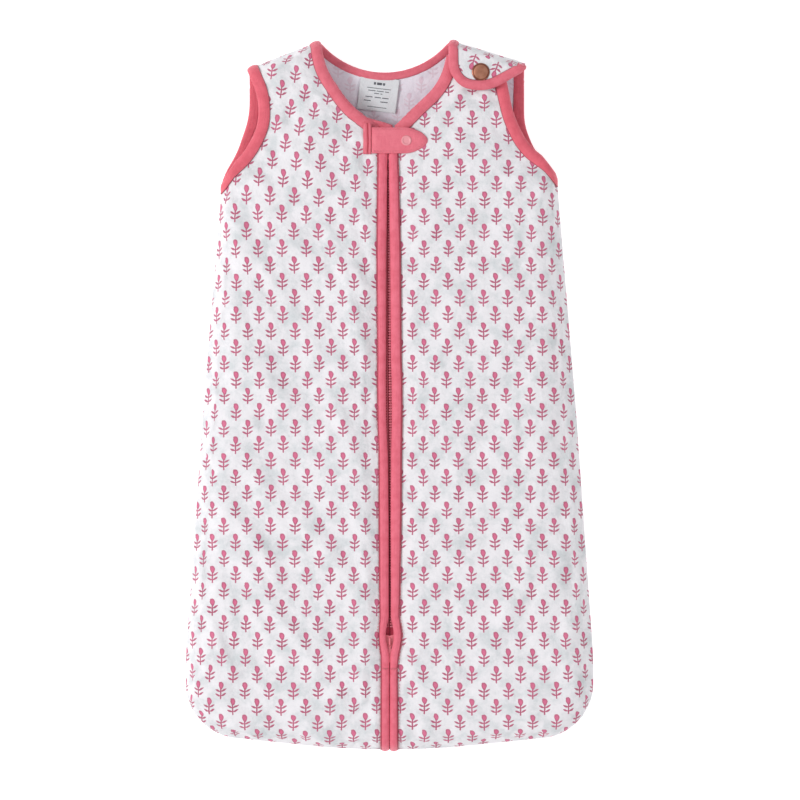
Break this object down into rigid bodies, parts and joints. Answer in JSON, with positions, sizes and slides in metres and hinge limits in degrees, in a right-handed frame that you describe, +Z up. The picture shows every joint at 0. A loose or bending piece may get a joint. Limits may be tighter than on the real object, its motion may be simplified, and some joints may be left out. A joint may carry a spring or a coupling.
{
  "type": "baby sleeping bag",
  "caption": "Sleeveless padded baby sleeping bag lying flat, with a central zip under folded plackets, a snapped zip guard, bound neck and armholes, and a snapped shoulder.",
  "frame": {"origin": "under the middle of the bag, on the surface that its back lies on", "axes": "+X across the bag towards the shoulder that opens, +Y along the bag towards the neck, +Z up out of the front"},
  "size_m": [0.3914, 0.6816, 0.0383],
  "materials": {
    "rose_satin": "fine woven cotton sateen",
    "lining": "plain cotton",
    "print": "white cotton printed with small pink sprigs",
    "wadding": "polyester wadding",
    "snap_metal": "satin",
    "rose_cap": "gloss ring",
    "coil": "satin",
    "tape": "woven",
    "label": "woven label",
    "zip_enamel": "gloss",
    "seam": "overlocked edge",
    "copper_cap": "brushed, domed"
  },
  "bodies": {
    "bag": {"back_left_armhole_binding": "rose_satin", "back_lining": "lining", "back_neck_binding": "rose_satin", "back_outer": "print", "back_right_armhole_binding": "rose_satin", "back_wadding": "wadding", "front_left_armhole_binding": "rose_satin", "front_left_lining": "lining", "front_left_outer": "print", "front_left_wadding": "wadding", "front_right_armhole_binding": "rose_satin", "front_right_lining": "lining", "front_right_outer": "print", "front_right_wadding": "wadding", "left_shoulder_neck_binding": "rose_satin", "lower_left_placket": "rose_satin", "lower_right_placket": "rose_satin", "neck_label": "label", "right_shoulder_neck_binding": "rose_satin", "seam_allowance": "seam", "shoulder_snap_back": "snap_metal", "shoulder_snap_stud": "snap_metal", "shoulder_turn_lining": "lining", "shoulder_turn_outer": "print", "shoulder_turn_wadding": "wadding", "zip_bottom_stop": "coil", "zip_end_cover": "tape", "zip_foot_coils": "coil", "zip_foot_tapes": "tape"},
    "left_lapel": {"left_lapel_outer": "print", "left_lapel_wadding": "wadding", "left_lapel_lining": "lining", "left_neck_binding": "rose_satin", "left_placket": "rose_satin", "left_zip_coil": "coil", "left_zip_tape": "tape", "left_top_stop": "coil", "guard_tab_strip": "rose_satin"},
    "right_lapel": {"right_lapel_outer": "print", "right_lapel_wadding": "wadding", "right_lapel_lining": "lining", "right_neck_binding": "rose_satin", "right_placket": "rose_satin", "right_zip_coil": "coil", "right_zip_tape": "tape", "right_top_stop": "coil", "guard_snap_stud": "snap_metal", "guard_snap_back": "snap_metal"},
    "guard_tab": {"guard_tab": "rose_satin", "guard_snap_cap": "rose_cap", "guard_snap_socket": "snap_metal"},
    "slider": {"slider_body": "zip_enamel"},
    "pull": {"pull_tab": "zip_enamel"},
    "shoulder_flap": {"shoulder_flap_outer": "print", "shoulder_flap_wadding": "wadding", "shoulder_flap_lining": "lining", "shoulder_flap_binding": "rose_satin", "shoulder_snap_cap": "copper_cap", "shoulder_snap_socket": "snap_metal"}
  },
  "joints": [
    {"name": "left_front_fold", "type": "hinge", "parent": "bag", "child": "left_lapel", "pos_m": [0, -0.215, 0.0319], "axis": [-0.1151, 0.9934, 0], "range_deg": [-150, 0]},
    {"name": "right_front_fold", "type": "hinge", "parent": "bag", "child": "right_lapel", "pos_m": [0, -0.215, 0.0319], "axis": [-0.0938, -0.9956, 0], "range_deg": [-150, 0]},
    {"name": "guard_tab_fold", "type": "hinge", "parent": "left_lapel", "child": "guard_tab", "pos_m": [-0.0172, 0.2445, 0.0345], "axis": [0, -1, 0], "range_deg": [0, 165]},
    {"name": "zip_slide", "type": "slide", "parent": "bag", "child": "slider", "axis": [0, 1, 0], "range_m": [0, 0.44]},
    {"name": "pull_turn", "type": "hinge", "parent": "slider", "child": "pull", "pos_m": [0, -0.236, 0.02915], "axis": [-1, 0, 0], "range_deg": [0, 165]},
    {"name": "shoulder_flap_fold", "type": "hinge", "parent": "bag", "child": "shoulder_flap", "pos_m": [0.08076, 0.32164, 0.0379], "axis": [-0.9573, 0.289, 0], "range_deg": [0, 160]}
  ],
  "couplings": [
    {"joint": "right_front_fold", "follows": "left_front_fold", "ratio": 1}
  ]
}
